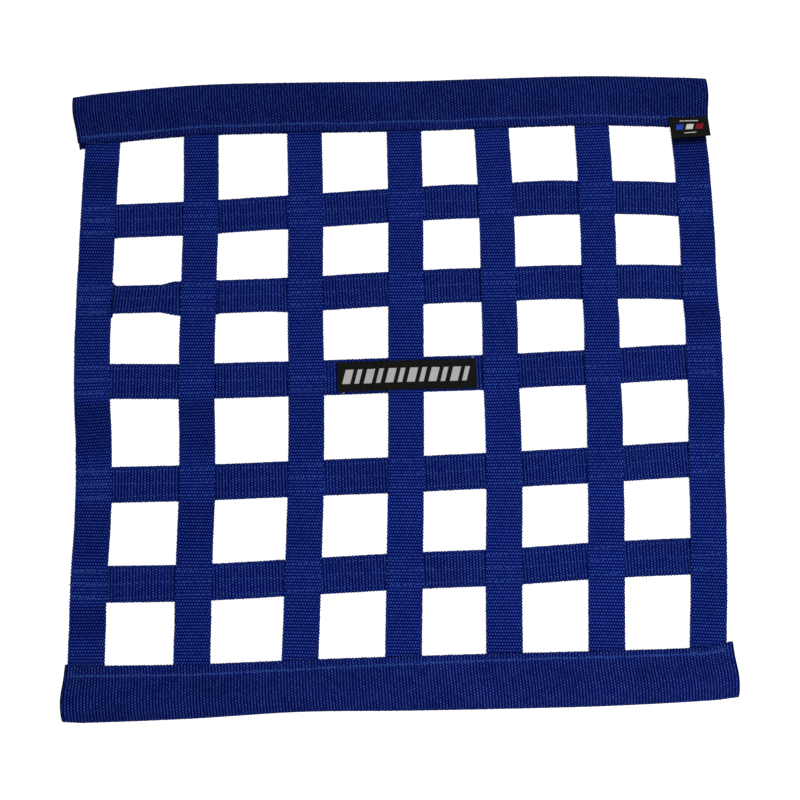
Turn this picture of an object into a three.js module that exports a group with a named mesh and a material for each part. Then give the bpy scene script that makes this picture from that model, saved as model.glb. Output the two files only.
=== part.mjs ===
// A racing window net: seven upright and five cross straps of 25.4 mm webbing, sewn where they meet,
// between two rod sleeves of folded 76 mm webbing. It lies flat on its back, as it is stored.
// Units are millimetres. +X runs along the sleeves, +Y to the top sleeve, +Z up; the origin is on the
// surface under the middle of the net.
import * as THREE from "three";

// Webbing
const STRAP_WIDTH = 25.4;
const WEB_THICK = 1.4;
const GAP = 0.3; // clear space between pieces that are sewn together
const CROSS_Z = 0; // underside of the cross straps
const UPRIGHT_Z = CROSS_Z + WEB_THICK + GAP; // underside of the uprights where they cross
const END_INSET = 0.7; // how far the cross straps' cut ends stay inside the outer uprights' edges
const CLEARANCE = 1.8; // how far past a strap's edge the piece over it stays level

// Sleeves
const HEM_WIDTH = 8; // the flange that the hem seam presses together
const TUCK = 7; // how far the uprights' cut ends reach into the hem
const NOSE_HEIGHT = 2.9; // middle of the cloth at the fold, where it turns back
const NOSE_LOW_REACH = 2.6; // how far the lower half of the fold reaches in
const NOSE_HIGH_REACH = 13; // the same for the upper half, up to the crown
const HEM_OVER_STRAP = UPRIGHT_Z + WEB_THICK + GAP + WEB_THICK / 2; // middle of the front layer
const HEM_GAPE = 0.5; // between the hem's two layers where no strap lies in it
const HEM_BETWEEN = WEB_THICK + HEM_GAPE + WEB_THICK / 2;
const HEM_SLOPE = 7; // along the sleeve, from over a strap down to between straps
const FAN_REACH = 55; // how far from a sleeve's end its cut stops leaning
const END_MARGIN = 2; // no section stands nearer than this to a sleeve's end

// Where the uprights cross: x at the top hem, at each cross strap and at the bottom hem.
const UPRIGHTS = [
  { name: "v1", top: -213.6, h1: -216.9, h2: -219.4, h3: -220.5, h4: -218.5, h5: -221.6, bottom: -223 },
  { name: "v2", top: -140.4, h1: -141, h2: -143.1, h3: -144.8, h4: -144.8, h5: -147.7, bottom: -149.1 },
  { name: "v3", top: -63.4, h1: -63.5, h2: -65, h3: -65.4, h4: -67, h5: -70.3, bottom: -73.4 },
  { name: "v4", top: 10.9, h1: 10.5, h2: 8.7, h3: 6.9, h4: 4.7, h5: 1.7, bottom: -0.9 },
  { name: "v5", top: 76.4, h1: 77.5, h2: 76.8, h3: 75.8, h4: 75.2, h5: 72.1, bottom: 70 },
  { name: "v6", top: 151.4, h1: 152, h2: 151, h3: 149.9, h4: 148.1, h5: 145, bottom: 141.9 },
  { name: "v7", top: 223.4, h1: 225, h2: 224.3, h3: 224.3, h4: 221, h5: 217.9, bottom: 213.2 },
];

// Where the cross straps cross: y at each upright.
const CROSSES = [
  { name: "h1", v1: 127.5, v2: 128.7, v3: 131.6, v4: 134.5, v5: 135.8, v6: 136, v7: 132.1 },
  { name: "h2", v1: 68, v2: 68, v3: 68.7, v4: 71.1, v5: 71.9, v6: 71.7, v7: 69 },
  { name: "h3", v1: 8.2, v2: 6.1, v3: 6, v4: 6.5, v5: 6.8, v6: 8.4, v7: 10.6 },
  { name: "h4", v1: -67.2, v2: -67.6, v3: -66.7, v4: -66, v5: -64.7, v6: -62.9, v7: -60.5 },
  { name: "h5", v1: -137.4, v2: -138.3, v3: -136.5, v4: -134.6, v5: -133.8, v6: -131, v7: -129.9 },
];

// How far each upright rises (or sags) halfway along each opening, from the top hem down.
const UPRIGHT_LIFT = {
  v1: { a: 0.4, b: -1, c: 0.8, d: -1.2, e: -0.8, f: -1 },
  v2: { a: -0.6, b: 0.8, c: 1.2, d: -1.2, e: 0.6, f: -1 },
  v3: { a: -0.8, b: 0.6, c: 1.6, d: -0.8, e: 0.8, f: -0.8 },
  v4: { a: -0.6, b: 1, c: 1.8, d: 1.2, e: -0.6, f: -0.8 },
  v5: { a: -0.4, b: 1.4, c: 2.4, d: 2, e: 1, f: -0.6 },
  v6: { a: 0.8, b: 1.6, c: 2.8, d: 2.4, e: 1.2, f: -0.4 },
  v7: { a: 1.2, b: 1.2, c: 1.8, d: 2.2, e: 0.8, f: 0.6 },
};

// The same for each cross strap, from left to right, and how far it rolls there, in degrees:
// a positive roll raises its lower edge.
const CROSS_LIFT = {
  h1: { a: 0, b: 0.3, c: 0, d: 0.5, e: 0.8, f: 0.4 },
  h2: { a: 0, b: 0.3, c: 0.5, d: 0.6, e: 1, f: 0.6 },
  h3: { a: 0.3, b: 0.5, c: 0, d: 0, e: 1.2, f: 1 },
  h4: { a: 0.2, b: 0.3, c: 0.4, d: 0.6, e: 1, f: 0.8 },
  h5: { a: 0, b: 0.3, c: 0.2, d: 0.4, e: 0.6, f: 0.5 },
};
const CROSS_ROLL = {
  h1: { a: 2, b: 3, c: 0, d: -3, e: -4, f: 3 },
  h2: { a: 27, b: 9, c: 0, d: 3, e: 4, f: 2 },
  h3: { a: 2, b: -3, c: 0, d: 0, e: 4, f: -4 },
  h4: { a: 2, b: 3, c: -2, d: 3, e: 4, f: 3 },
  h5: { a: -3, b: 2, c: 3, d: -3, e: 3, f: -2 },
};
const OPENINGS = ["a", "b", "c", "d", "e", "f"];
const TWIST_IN = 0.14; // the share of an opening, from its left end, in which a strap takes up its roll
const TWIST_OUT = 0.3; // the share in which it gives it up again
const DRAW = 0.65; // how much of the width that a roll hides is taken from the lower-lying edge

// The sleeves, from left to right: y of the outer fold, y of the hem's edge and the height that the
// middle of the cloth reaches at the crown.
const TOP_SLEEVE = [
  { x: -235.5, fold: 223.8, hem: 187.2, crown: 9.2 },
  { x: -214, fold: 226.5, hem: 188.2, crown: 8.7 },
  { x: -141, fold: 231.1, hem: 192.1, crown: 8.9 },
  { x: -64, fold: 231, hem: 192.1, crown: 8.4 },
  { x: 10.5, fold: 229.7, hem: 191.2, crown: 8.8 },
  { x: 76, fold: 230.1, hem: 191.7, crown: 8.5 },
  { x: 151, fold: 230, hem: 192, crown: 8.8 },
  { x: 223, fold: 226.8, hem: 188.4, crown: 8.8 },
  { x: 238.6, fold: 225.6, hem: 187.2, crown: 9.2 },
];
const BOTTOM_SLEEVE = [
  { x: -238.6, fold: -231.5, hem: -192.2, crown: 9.3 },
  { x: -223.5, fold: -232.5, hem: -193.4, crown: 8.8 },
  { x: -149.5, fold: -231.9, hem: -194.7, crown: 8.6 },
  { x: -73.5, fold: -229.6, hem: -194, crown: 8.9 },
  { x: -1, fold: -231, hem: -193.6, crown: 8.4 },
  { x: 70, fold: -231.8, hem: -193.7, crown: 8.7 },
  { x: 142, fold: -232, hem: -194, crown: 8.9 },
  { x: 213, fold: -230.4, hem: -193.5, crown: 8.6 },
  { x: 231.7, fold: -228.7, hem: -190, crown: 9.2 },
];
// How far the hem's end stands along X from the fold's end, where the cut leans.
const TOP_LEAN = { left: 3.8, right: 0.1 };
const BOTTOM_LEAN = { left: 1.4, right: -1.4 };
const TOP_PEEP = { left: 3.5, right: 0 }; // how far the back layer shows past the hem at each end
const BOTTOM_PEEP = { left: 0, right: 0 };

// Label and tag
const LABEL_LENGTH = 101;
const LABEL_WIDTH = 21.5;
const LABEL_THICK = 1;
const LABEL_X = 7.7;
const LABEL_Y = 5.95;
const LABEL_TURN = 0.1; // degrees
const LABEL_RAMP = 13; // length of the slope from the cross strap onto the upright
const TAG_TOP = { left: 208.7, leftY: 194.8, right: 238.1, rightY: 194.5 };
const TAG_BOTTOM = { left: 210.1, leftY: 177.8, right: 239, rightY: 179.6 };
const TAG_LIFT = 0.9; // how much higher the tag's loose edge stands than its sewn edge
const TAG_STEPS = 6;

const STEPS_IN_OPENING = 5;
const STEPS_ON_CROSSING = 2;

const BLUE = 0x10205c;
const BLACK = 0x17181b;

const webbing = new THREE.MeshStandardMaterial({ color: BLUE, roughness: 0.75, metalness: 0 });
const wovenLabel = new THREE.MeshStandardMaterial({ color: BLACK, roughness: 0.8, metalness: 0 });

// A smooth curve through (knots[i], values[i]): cubic pieces whose slopes follow the neighbours,
// with straight ends beyond the first and last knots.
function smoothThrough(knots, values) {
  const last = knots.length - 1;
  const slopes = knots.map((_, i) => {
    const before = Math.max(i - 1, 0);
    const after = Math.min(i + 1, last);
    return (values[after] - values[before]) / (knots[after] - knots[before]);
  });
  return (at) => {
    if (at <= knots[0]) return values[0] + slopes[0] * (at - knots[0]);
    if (at >= knots[last]) return values[last] + slopes[last] * (at - knots[last]);
    const i = knots.findIndex((k) => k > at) - 1;
    const span = knots[i + 1] - knots[i];
    const s = (at - knots[i]) / span;
    const s2 = s * s;
    const s3 = s2 * s;
    return (
      (2 * s3 - 3 * s2 + 1) * values[i] +
      (s3 - 2 * s2 + s) * span * slopes[i] +
      (3 * s2 - 2 * s3) * values[i + 1] +
      (s3 - s2) * span * slopes[i + 1]
    );
  };
}

// One column of a sleeve's table as a smooth curve along the sleeve.
const columnOf = (rows, name) => smoothThrough(rows.map((r) => r.x), rows.map((r) => r[name]));

const smoothStep = (s) => {
  const t = Math.min(Math.max(s, 0), 1);
  return t * t * (3 - 2 * t);
};

// One closed mesh from a row of sections. Each section is a strip of cloth seen end on: its front
// points and, matched to them, its back points.
function stripGeometry(sections) {
  const width = sections[0].front.length;
  const positions = sections.flatMap((s) => [...s.front, ...s.back].flatMap((p) => p.toArray()));
  const index = [];
  const front = (row, i) => row * 2 * width + i;
  const back = (row, i) => row * 2 * width + width + i;
  const quad = (a, b, c, d) => index.push(a, b, c, a, c, d);
  for (let row = 0; row < sections.length - 1; row++) {
    for (let i = 0; i < width - 1; i++) {
      quad(front(row, i), front(row + 1, i), front(row + 1, i + 1), front(row, i + 1));
      quad(back(row, i), back(row, i + 1), back(row + 1, i + 1), back(row + 1, i));
    }
    quad(front(row, 0), back(row, 0), back(row + 1, 0), front(row + 1, 0));
    const end = width - 1;
    quad(front(row, end), front(row + 1, end), back(row + 1, end), back(row, end));
  }
  const lastRow = sections.length - 1;
  for (let i = 0; i < width - 1; i++) {
    quad(front(0, i), front(0, i + 1), back(0, i + 1), back(0, i));
    quad(front(lastRow, i), back(lastRow, i), back(lastRow, i + 1), front(lastRow, i + 1));
  }
  const geometry = new THREE.BufferGeometry();
  geometry.setAttribute("position", new THREE.Float32BufferAttribute(positions, 3));
  geometry.setIndex(facingOut(positions, index));
  geometry.computeVertexNormals();
  return geometry;
}

// The triangles, turned round where the solid they close would be inside out.
function facingOut(positions, index) {
  const point = (i) => new THREE.Vector3().fromArray(positions, 3 * i);
  let volume = 0;
  for (let i = 0; i < index.length; i += 3) {
    volume += point(index[i]).dot(point(index[i + 1]).cross(point(index[i + 2])));
  }
  return volume > 0 ? index : index.reverse();
}

// A section across a strap: its middle, the level direction across it, and its roll.
function strapSection(centre, across, roll, halfWidth, thickness) {
  const side = across.clone().multiplyScalar(Math.cos(roll));
  side.z = Math.sin(roll);
  const up = across.clone().multiplyScalar(-Math.sin(roll));
  up.z = Math.cos(roll);
  const at = (s, h) =>
    centre.clone().addScaledVector(side, s * halfWidth).addScaledVector(up, (h * thickness) / 2);
  return { front: [at(-1, 1), at(1, 1)], back: [at(-1, -1), at(1, -1)] };
}

// Stations along a strap, with how far each lies into its opening from 0 to 1, or null on a crossing.
// level holds the places, in order, where the strap crosses another and stays level.
function strapStations(start, level, end) {
  const reach = STRAP_WIDTH / 2 + CLEARANCE;
  const stations = [{ at: start, opening: -1, s: 0 }];
  level.forEach((place, i) => {
    const towards = Math.sign(place - start) || 1;
    for (let k = 0; k <= STEPS_ON_CROSSING; k++) {
      const at = place + towards * reach * ((2 * k) / STEPS_ON_CROSSING - 1);
      if ((at - start) * towards > 0 && (end - at) * towards > 0) {
        stations.push({ at, opening: i, s: 0 });
      }
    }
    if (i === level.length - 1) return;
    const from = place + towards * reach;
    const to = level[i + 1] - towards * reach;
    for (let k = 0; k < STEPS_IN_OPENING; k++) {
      const s = (k + 0.5) / STEPS_IN_OPENING;
      stations.push({ at: from + (to - from) * s, opening: i, s });
    }
  });
  stations.push({ at: end, opening: -1, s: 0 });
  return stations;
}

// How much of an opening's lift, or roll, is reached at s: none at its ends, all of it halfway.
const swell = (s) => Math.sin(Math.PI * s) ** 2;
const turned = (s) => smoothStep(s / TWIST_IN) * smoothStep((1 - s) / TWIST_OUT);

function crossStrap(row) {
  const atUpright = UPRIGHTS.map((upright) => ({ x: upright[row.name], y: row[upright.name] }));
  const route = smoothThrough(atUpright.map((p) => p.x), atUpright.map((p) => p.y));
  const outer = STRAP_WIDTH / 2 - END_INSET;
  const start = atUpright[0].x - outer;
  const end = atUpright.at(-1).x + outer;
  const sections = strapStations(start, atUpright.map((p) => p.x), end).map(({ at, opening, s }) => {
    const name = OPENINGS[opening];
    const lift = s > 0 ? CROSS_LIFT[row.name][name] * swell(s) : 0;
    const roll = s > 0 ? THREE.MathUtils.degToRad(CROSS_ROLL[row.name][name]) * turned(s) : 0;
    const slope = route(at + 0.5) - route(at - 0.5);
    const across = new THREE.Vector3(slope, -1, 0).normalize();
    const rise = (STRAP_WIDTH / 2) * Math.abs(Math.sin(roll)) + (WEB_THICK / 2) * Math.cos(roll);
    // The raised edge stays nearly above its place, and the edge on the floor is drawn in.
    const drawnIn = DRAW * (STRAP_WIDTH / 2) * (1 - Math.cos(roll)) * Math.sign(roll);
    const centre = new THREE.Vector3(at, route(at), CROSS_Z + lift + rise).addScaledVector(across, drawnIn);
    return strapSection(centre, across, roll, STRAP_WIDTH / 2, WEB_THICK);
  });
  return stripGeometry(sections);
}

function uprightStrap(row) {
  const hemTop = columnOf(TOP_SLEEVE, "hem")(row.top);
  const hemBottom = columnOf(BOTTOM_SLEEVE, "hem")(row.bottom);
  const level = [hemTop, ...CROSSES.map((cross) => cross[row.name]), hemBottom];
  const places = [row.top, ...CROSSES.map((cross) => row[cross.name]), row.bottom];
  const route = smoothThrough([...level].reverse(), [...places].reverse());
  const sections = strapStations(hemTop + TUCK, level, hemBottom - TUCK).map(({ at, opening, s }) => {
    const lift = s > 0 ? UPRIGHT_LIFT[row.name][OPENINGS[opening]] * swell(s) : 0;
    const slope = route(at + 0.5) - route(at - 0.5);
    const across = new THREE.Vector3(1, -slope, 0).normalize();
    const centre = new THREE.Vector3(route(at), at, UPRIGHT_Z + WEB_THICK / 2 + lift);
    return strapSection(centre, across, 0, STRAP_WIDTH / 2, WEB_THICK);
  });
  return stripGeometry(sections);
}

// The cloth's middle line round a sleeve, from the front hem edge over the crown and round the fold to
// the back hem edge, as distance out from the hem, height and the direction its outer face looks.
function sleeveLine(width, hemHeight, crown, peep) {
  const line = [];
  const add = (out, z, face) => line.push({ out, z, face });
  add(0, hemHeight, Math.PI / 2);
  add(HEM_WIDTH, hemHeight, Math.PI / 2);
  const crownOut = width - WEB_THICK / 2 - NOSE_HIGH_REACH;
  const run = crownOut - HEM_WIDTH;
  for (let k = 1; k <= 3; k++) {
    const s = k / 3;
    const slope = ((crown - hemHeight) * Math.PI * Math.sin(Math.PI * s)) / (2 * run);
    const z = hemHeight + ((crown - hemHeight) * (1 - Math.cos(Math.PI * s))) / 2;
    add(HEM_WIDTH + run * s, z, Math.PI / 2 + Math.atan(slope));
  }
  const turn = (reach, rise, angle) => {
    const out = width - WEB_THICK / 2 - reach * (1 - Math.sin(angle));
    const face = Math.atan2(reach * Math.cos(angle), rise * Math.sin(angle));
    add(out, NOSE_HEIGHT + rise * Math.cos(angle), face);
  };
  for (const degrees of [30, 60, 80, 90]) {
    turn(NOSE_HIGH_REACH, crown - NOSE_HEIGHT, THREE.MathUtils.degToRad(degrees));
  }
  for (const degrees of [135, 180]) {
    turn(NOSE_LOW_REACH, NOSE_HEIGHT - WEB_THICK / 2, THREE.MathUtils.degToRad(degrees));
  }
  add(HEM_WIDTH, WEB_THICK / 2, -Math.PI / 2);
  add(-peep, WEB_THICK / 2, -Math.PI / 2);
  return line;
}

function sleeve(rows, straps, lean, peep) {
  const fold = columnOf(rows, "fold");
  const hem = columnOf(rows, "hem");
  const crown = columnOf(rows, "crown");
  const left = rows[0].x;
  const right = rows[rows.length - 1].x;
  const level = STRAP_WIDTH / 2 + CLEARANCE;
  const stops = [0, level, level + HEM_SLOPE / 3, level + (2 * HEM_SLOPE) / 3, level + HEM_SLOPE];
  const inside = straps.flatMap((x) => stops.flatMap((d) => (d === 0 ? [x] : [x - d, x + d])));
  const between = straps.slice(1).map((x, i) => (x + straps[i]) / 2);
  const kept = [...inside, ...between].filter((x) => x > left + END_MARGIN && x < right - END_MARGIN);
  const stations = [left, ...kept, right];
  stations.sort((a, b) => a - b);
  const sections = stations.map((x) => {
    const nearest = Math.min(...straps.map((strap) => Math.abs(strap - x)));
    const lowered = x < straps[0] || x > straps.at(-1) ? 0 : smoothStep((nearest - level) / HEM_SLOPE);
    const hemHeight = HEM_OVER_STRAP + (HEM_BETWEEN - HEM_OVER_STRAP) * lowered;
    const fromLeft = Math.max(0, 1 - (x - left) / FAN_REACH) ** 2;
    const fromRight = Math.max(0, 1 - (right - x) / FAN_REACH) ** 2;
    const leaning = lean.left * fromLeft + lean.right * fromRight;
    const showing = peep.left * fromLeft + peep.right * fromRight;
    const start = new THREE.Vector3(x + leaning, hem(x), 0);
    const out = new THREE.Vector3(x, fold(x), 0).sub(start);
    const width = out.length();
    out.normalize();
    const at = ({ out: distance, z, face }, side) =>
      start
        .clone()
        .addScaledVector(out, distance + ((side * WEB_THICK) / 2) * Math.cos(face))
        .setZ(z + ((side * WEB_THICK) / 2) * Math.sin(face));
    const line = sleeveLine(width, hemHeight, crown(x), showing);
    return { front: line.map((p) => at(p, 1)), back: line.map((p) => at(p, -1)) };
  });
  return stripGeometry(sections);
}

// The label lies on the third cross strap and steps up over the middle upright.
function labelPatch() {
  const upright = UPRIGHTS[3].h3;
  const level = STRAP_WIDTH / 2 + 2;
  const low = WEB_THICK + GAP;
  const high = UPRIGHT_Z + WEB_THICK + GAP;
  const turn = THREE.MathUtils.degToRad(LABEL_TURN);
  const along = new THREE.Vector3(Math.cos(turn), Math.sin(turn), 0);
  const across = new THREE.Vector3(Math.sin(turn), -Math.cos(turn), 0);
  const middle = new THREE.Vector3(LABEL_X, LABEL_Y, 0);
  const ramp = [1, 0.75, 0.5, 0.25, 0].map((s) => level + LABEL_RAMP * s);
  const bends = [...ramp.map((d) => upright - d), ...[...ramp].reverse().map((d) => upright + d)];
  const stations = [-LABEL_LENGTH / 2, ...bends.map((x) => x - LABEL_X), LABEL_LENGTH / 2];
  const sections = stations.map((distance) => {
    const centre = middle.clone().addScaledVector(along, distance);
    const climbed = 1 - smoothStep((Math.abs(centre.x - upright) - level) / LABEL_RAMP);
    centre.z = low + (high - low) * climbed + LABEL_THICK / 2;
    return strapSection(centre, across, 0, LABEL_WIDTH / 2, LABEL_THICK);
  });
  return stripGeometry(sections);
}

// The tag is sewn on the hem by its top edge, and its loose edge stands off the upright under it.
function sideTag() {
  const low = HEM_OVER_STRAP + WEB_THICK / 2 + GAP;
  const sections = [];
  for (let k = 0; k <= TAG_STEPS; k++) {
    const s = k / TAG_STEPS;
    const mix = (key) => TAG_TOP[key] + (TAG_BOTTOM[key] - TAG_TOP[key]) * s;
    const z = low + TAG_LIFT * s * s;
    const left = new THREE.Vector3(mix("left"), mix("leftY"), z);
    const right = new THREE.Vector3(mix("right"), mix("rightY"), z);
    const raised = (p) => p.clone().setZ(p.z + LABEL_THICK);
    sections.push({ front: [raised(left), raised(right)], back: [left, right] });
  }
  return stripGeometry(sections);
}

function piece(name, geometry, material) {
  const mesh = new THREE.Mesh(geometry, material);
  mesh.name = name;
  return mesh;
}

const topSleeve = sleeve(TOP_SLEEVE, UPRIGHTS.map((v) => v.top), TOP_LEAN, TOP_PEEP);
const bottomSleeve = sleeve(BOTTOM_SLEEVE, UPRIGHTS.map((v) => v.bottom), BOTTOM_LEAN, BOTTOM_PEEP);
const net = new THREE.Group();
net.add(piece("sleeve_top", topSleeve, webbing));
net.add(piece("sleeve_bottom", bottomSleeve, webbing));
for (const row of UPRIGHTS) net.add(piece("strap_" + row.name, uprightStrap(row), webbing));
for (const row of CROSSES) net.add(piece("strap_" + row.name, crossStrap(row), webbing));
net.add(piece("label_patch", labelPatch(), wovenLabel));
net.add(piece("side_tag", sideTag(), wovenLabel));

export default net;
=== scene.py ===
import math

import bpy
import numpy as np
from mathutils import Matrix, Vector


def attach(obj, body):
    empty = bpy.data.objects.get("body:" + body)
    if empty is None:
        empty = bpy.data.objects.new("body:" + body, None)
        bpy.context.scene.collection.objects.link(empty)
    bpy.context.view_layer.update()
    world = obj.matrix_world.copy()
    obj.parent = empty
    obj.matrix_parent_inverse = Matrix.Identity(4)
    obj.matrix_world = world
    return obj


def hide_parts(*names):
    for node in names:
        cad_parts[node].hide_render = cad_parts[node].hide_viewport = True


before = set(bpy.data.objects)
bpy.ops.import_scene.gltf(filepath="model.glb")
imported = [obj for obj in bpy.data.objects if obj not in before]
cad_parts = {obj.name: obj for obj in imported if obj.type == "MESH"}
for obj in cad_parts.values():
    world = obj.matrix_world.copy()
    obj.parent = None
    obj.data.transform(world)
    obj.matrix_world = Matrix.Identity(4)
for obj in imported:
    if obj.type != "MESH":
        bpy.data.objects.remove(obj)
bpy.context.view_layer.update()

# A racing window net: seven upright and five cross straps of 25.4 mm webbing between two rod sleeves
# of folded 76 mm webbing. It lies flat, seen from above. Sizes are millimetres until a mesh is made.
MM = 0.001

# Webbing
STRAP_WIDTH = 25.4
WEB_THICK = 1.4
GAP = 0.3  # between pieces that are sewn together
CROSS_Z = 0.0
UPRIGHT_Z = CROSS_Z + WEB_THICK + GAP  # underside of the uprights where they cross
END_INSET = 0.7  # how far the cross straps' cut ends stay inside the outer uprights' edges
CLEARANCE = 1.8  # from a crossing's edge to where a strap starts to rise or sag
ROLL_CLEARANCE = 0.5  # and to where it starts to roll

# Weave
PICK = 2.25  # along the webbing, from one weft to the next
SLEEVE_PICK = 2.17  # the same in the wider webbing of the sleeves
COLUMNS = 26  # warp yarns across a strap
COLUMN = STRAP_WIDTH / COLUMNS
GROOVE_DEPTH = 0.24  # between two picks
DOWN_DEPTH = 0.26  # where a warp yarn dives under a pick
EDGE_SCALLOP = 0.25  # how far the selvedge swings out and in from row to row
EDGE_OUT = 0.28  # the selvedge's mean place past the strap's nominal edge
EDGE_JITTER = 0.07
EDGE_SHARE = 0.3  # of the thickness, from its middle to the selvedge's upper and lower points
SHOULDER_DEPTH = 0.22  # how far a strap's faces fall off at its edges
SHOULDER_REACH = 0.9
YARN_DRIFT = 0.05
PRESSED = 0.4  # how much flatter the weave is where straps are sewn together
SEWN_SHINE = 0.04  # and how much brighter
SEWN_SOFTNESS = 1.2  # the width of the step between sewn and open
CROWN_JITTER = 0.035

# Sleeves
HEM_WIDTH = 8.0
TUCK = 7.0  # how far the uprights' cut ends reach into the hem
NOSE_HEIGHT = 2.9  # of the fold's outermost line
NOSE_LOW_REACH = 2.6
NOSE_HIGH_REACH = 13.0
HEM_OVER_STRAP = UPRIGHT_Z + WEB_THICK + GAP + WEB_THICK / 2  # middle of the front layer
HEM_GAPE = 0.5
HEM_BETWEEN = WEB_THICK + HEM_GAPE + WEB_THICK / 2
HEM_SLOPE = 7.0  # over which the front layer comes down beside an upright
FAN_REACH = 55.0  # from a cut end to where its lean, bow and peep have died out
HEM_STEPS = 12
CURVE_STEPS = 24
RIB_LEAN = math.tan(math.radians(3.0))  # how far the sleeves' ribs lean to the right on their way down
LEAN_REACH = 30.0  # from a cut end to where the ribs lean fully
SLEEVE_COLUMNS = 80  # warp yarns from one hem edge round the fold to the other
LINING_COLUMNS = 40  # steps round the inside of a sleeve
SLEEVE_EDGE_OUT = 0.5
SLEEVE_EDGE_JITTER = 0.1
SEAM_PINCH = 0.35  # how deep the hem seam draws the cloth in
SEAM_WIDTH = 0.9
SEAM_SHINE = 0.3  # how much brighter the cloth looks along the seam
HEM_SHINE = 0.08  # and between the seam and the hem's edge
HEM_SOFTNESS = 1.5
SHADE_PACE = 1.7  # a sleeve's painted light has changed fully at 1 / 1.7 of its length
# painted shade inside a sleeve: the brightness of its inner faces
INSIDE_PAINTED_SHADE = 0.5
# Painted shade along the sleeves' cut ends, darkest at the left end, which lies away from the light: its
# brightness, how far in from the end it reaches, by how much that varies from yarn to yarn, and the width of
# the step to the cloth's own brightness.
CUT_END_PAINTED_SHADE = dict(
    left=dict(tone=0.1, inset=0.6, fray=0.35, reach=1.4),
    right=dict(tone=0.5, inset=0.1, fray=0.3, reach=0.9),
)

# Where the uprights cross: x at the top hem, at each cross strap and at the bottom hem.
UPRIGHTS = {
    "v1": dict(top=-213.6, h1=-216.9, h2=-219.4, h3=-220.5, h4=-218.5, h5=-221.6, bottom=-223),
    "v2": dict(top=-140.4, h1=-141, h2=-143.1, h3=-144.8, h4=-144.8, h5=-147.7, bottom=-149.1),
    "v3": dict(top=-63.4, h1=-63.5, h2=-65, h3=-65.4, h4=-67, h5=-70.3, bottom=-73.4),
    "v4": dict(top=10.9, h1=10.5, h2=8.7, h3=6.9, h4=4.7, h5=1.7, bottom=-0.9),
    "v5": dict(top=76.4, h1=77.5, h2=76.8, h3=75.8, h4=75.2, h5=72.1, bottom=70),
    "v6": dict(top=151.4, h1=152, h2=151, h3=149.9, h4=148.1, h5=145, bottom=141.9),
    "v7": dict(top=223.4, h1=225, h2=224.3, h3=224.3, h4=221, h5=217.9, bottom=213.2),
}

# Where the cross straps cross: y at each upright.
CROSSES = {
    "h1": dict(v1=127.5, v2=128.7, v3=131.6, v4=134.5, v5=135.8, v6=136, v7=132.1),
    "h2": dict(v1=68, v2=68, v3=68.7, v4=71.1, v5=71.9, v6=71.7, v7=69),
    "h3": dict(v1=8.2, v2=6.1, v3=6, v4=6.5, v5=6.8, v6=8.4, v7=10.6),
    "h4": dict(v1=-67.2, v2=-67.6, v3=-66.7, v4=-66, v5=-64.7, v6=-62.9, v7=-60.5),
    "h5": dict(v1=-137.4, v2=-138.3, v3=-136.5, v4=-134.6, v5=-133.8, v6=-131, v7=-129.9),
}

# How far each upright rises (or sags) halfway along each opening, from the top hem down.
UPRIGHT_LIFT = {
    "v1": (0.4, -1, 0.8, -1.2, -0.8, -1),
    "v2": (-0.6, 0.8, 1.2, -1.2, 0.6, -1),
    "v3": (-0.8, 0.6, 1.6, -0.8, 0.8, -0.8),
    "v4": (-0.6, 1, 1.8, 1.2, -0.6, -0.8),
    "v5": (-0.4, 1.4, 2.4, 2, 1, -0.6),
    "v6": (0.8, 1.6, 2.8, 2.4, 1.2, -0.4),
    "v7": (1.2, 1.2, 1.8, 2.2, 0.8, 0.6),
}

# The same for each cross strap, from left to right, and how far it rolls there, in degrees.
CROSS_LIFT = {
    "h1": (0, 0.3, 0, 0.5, 0.8, 0.4),
    "h2": (0, 0.3, 0.5, 0.6, 1, 0.6),
    "h3": (0.3, 0.5, 0, 0, 1.2, 1),
    "h4": (0.2, 0.3, 0.4, 0.6, 1, 0.8),
    "h5": (0, 0.3, 0.2, 0.4, 0.6, 0.5),
}
CROSS_ROLL = {
    "h1": (2, 3, 0, -3, -4, 3),
    "h2": (27, 9, 0, 3, 4, 2),
    "h3": (2, -3, 0, 0, 4, -4),
    "h4": (2, 3, -2, 3, 4, 3),
    "h5": (-3, 2, 3, -3, 3, -2),
}
TWIST_IN = 0.05  # the share of an opening, from its left end, in which a strap takes up its roll
TWIST_OUT = 0.3  # the share in which it gives it up again
DRAW = 0.65  # how much of the width that a roll hides is taken from the lower-lying edge

# The sleeves, from left to right: y of the outer fold, y of the hem's edge and the crown's height.
TOP_SLEEVE = [
    dict(x=-235.5, fold=223.8, hem=187.2, crown=9.2),
    dict(x=-214, fold=226.5, hem=188.2, crown=8.7),
    dict(x=-141, fold=231.1, hem=192.1, crown=8.9),
    dict(x=-64, fold=231, hem=192.1, crown=8.4),
    dict(x=10.5, fold=229.7, hem=191.2, crown=8.8),
    dict(x=76, fold=230.1, hem=191.7, crown=8.5),
    dict(x=151, fold=230, hem=192, crown=8.8),
    dict(x=223, fold=226.8, hem=188.4, crown=8.8),
    dict(x=238.6, fold=225.6, hem=187.2, crown=9.2),
]
BOTTOM_SLEEVE = [
    dict(x=-238.6, fold=-231.5, hem=-192.2, crown=9.3),
    dict(x=-223.5, fold=-232.5, hem=-193.4, crown=8.8),
    dict(x=-149.5, fold=-231.9, hem=-194.7, crown=8.6),
    dict(x=-73.5, fold=-229.6, hem=-194, crown=8.9),
    dict(x=-1, fold=-231, hem=-193.6, crown=8.4),
    dict(x=70, fold=-231.8, hem=-193.7, crown=8.7),
    dict(x=142, fold=-232, hem=-194, crown=8.9),
    dict(x=213, fold=-230.4, hem=-193.5, crown=8.6),
    dict(x=231.7, fold=-228.7, hem=-190, crown=9.2),
]
LEFT = 0
RIGHT = 1
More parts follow.
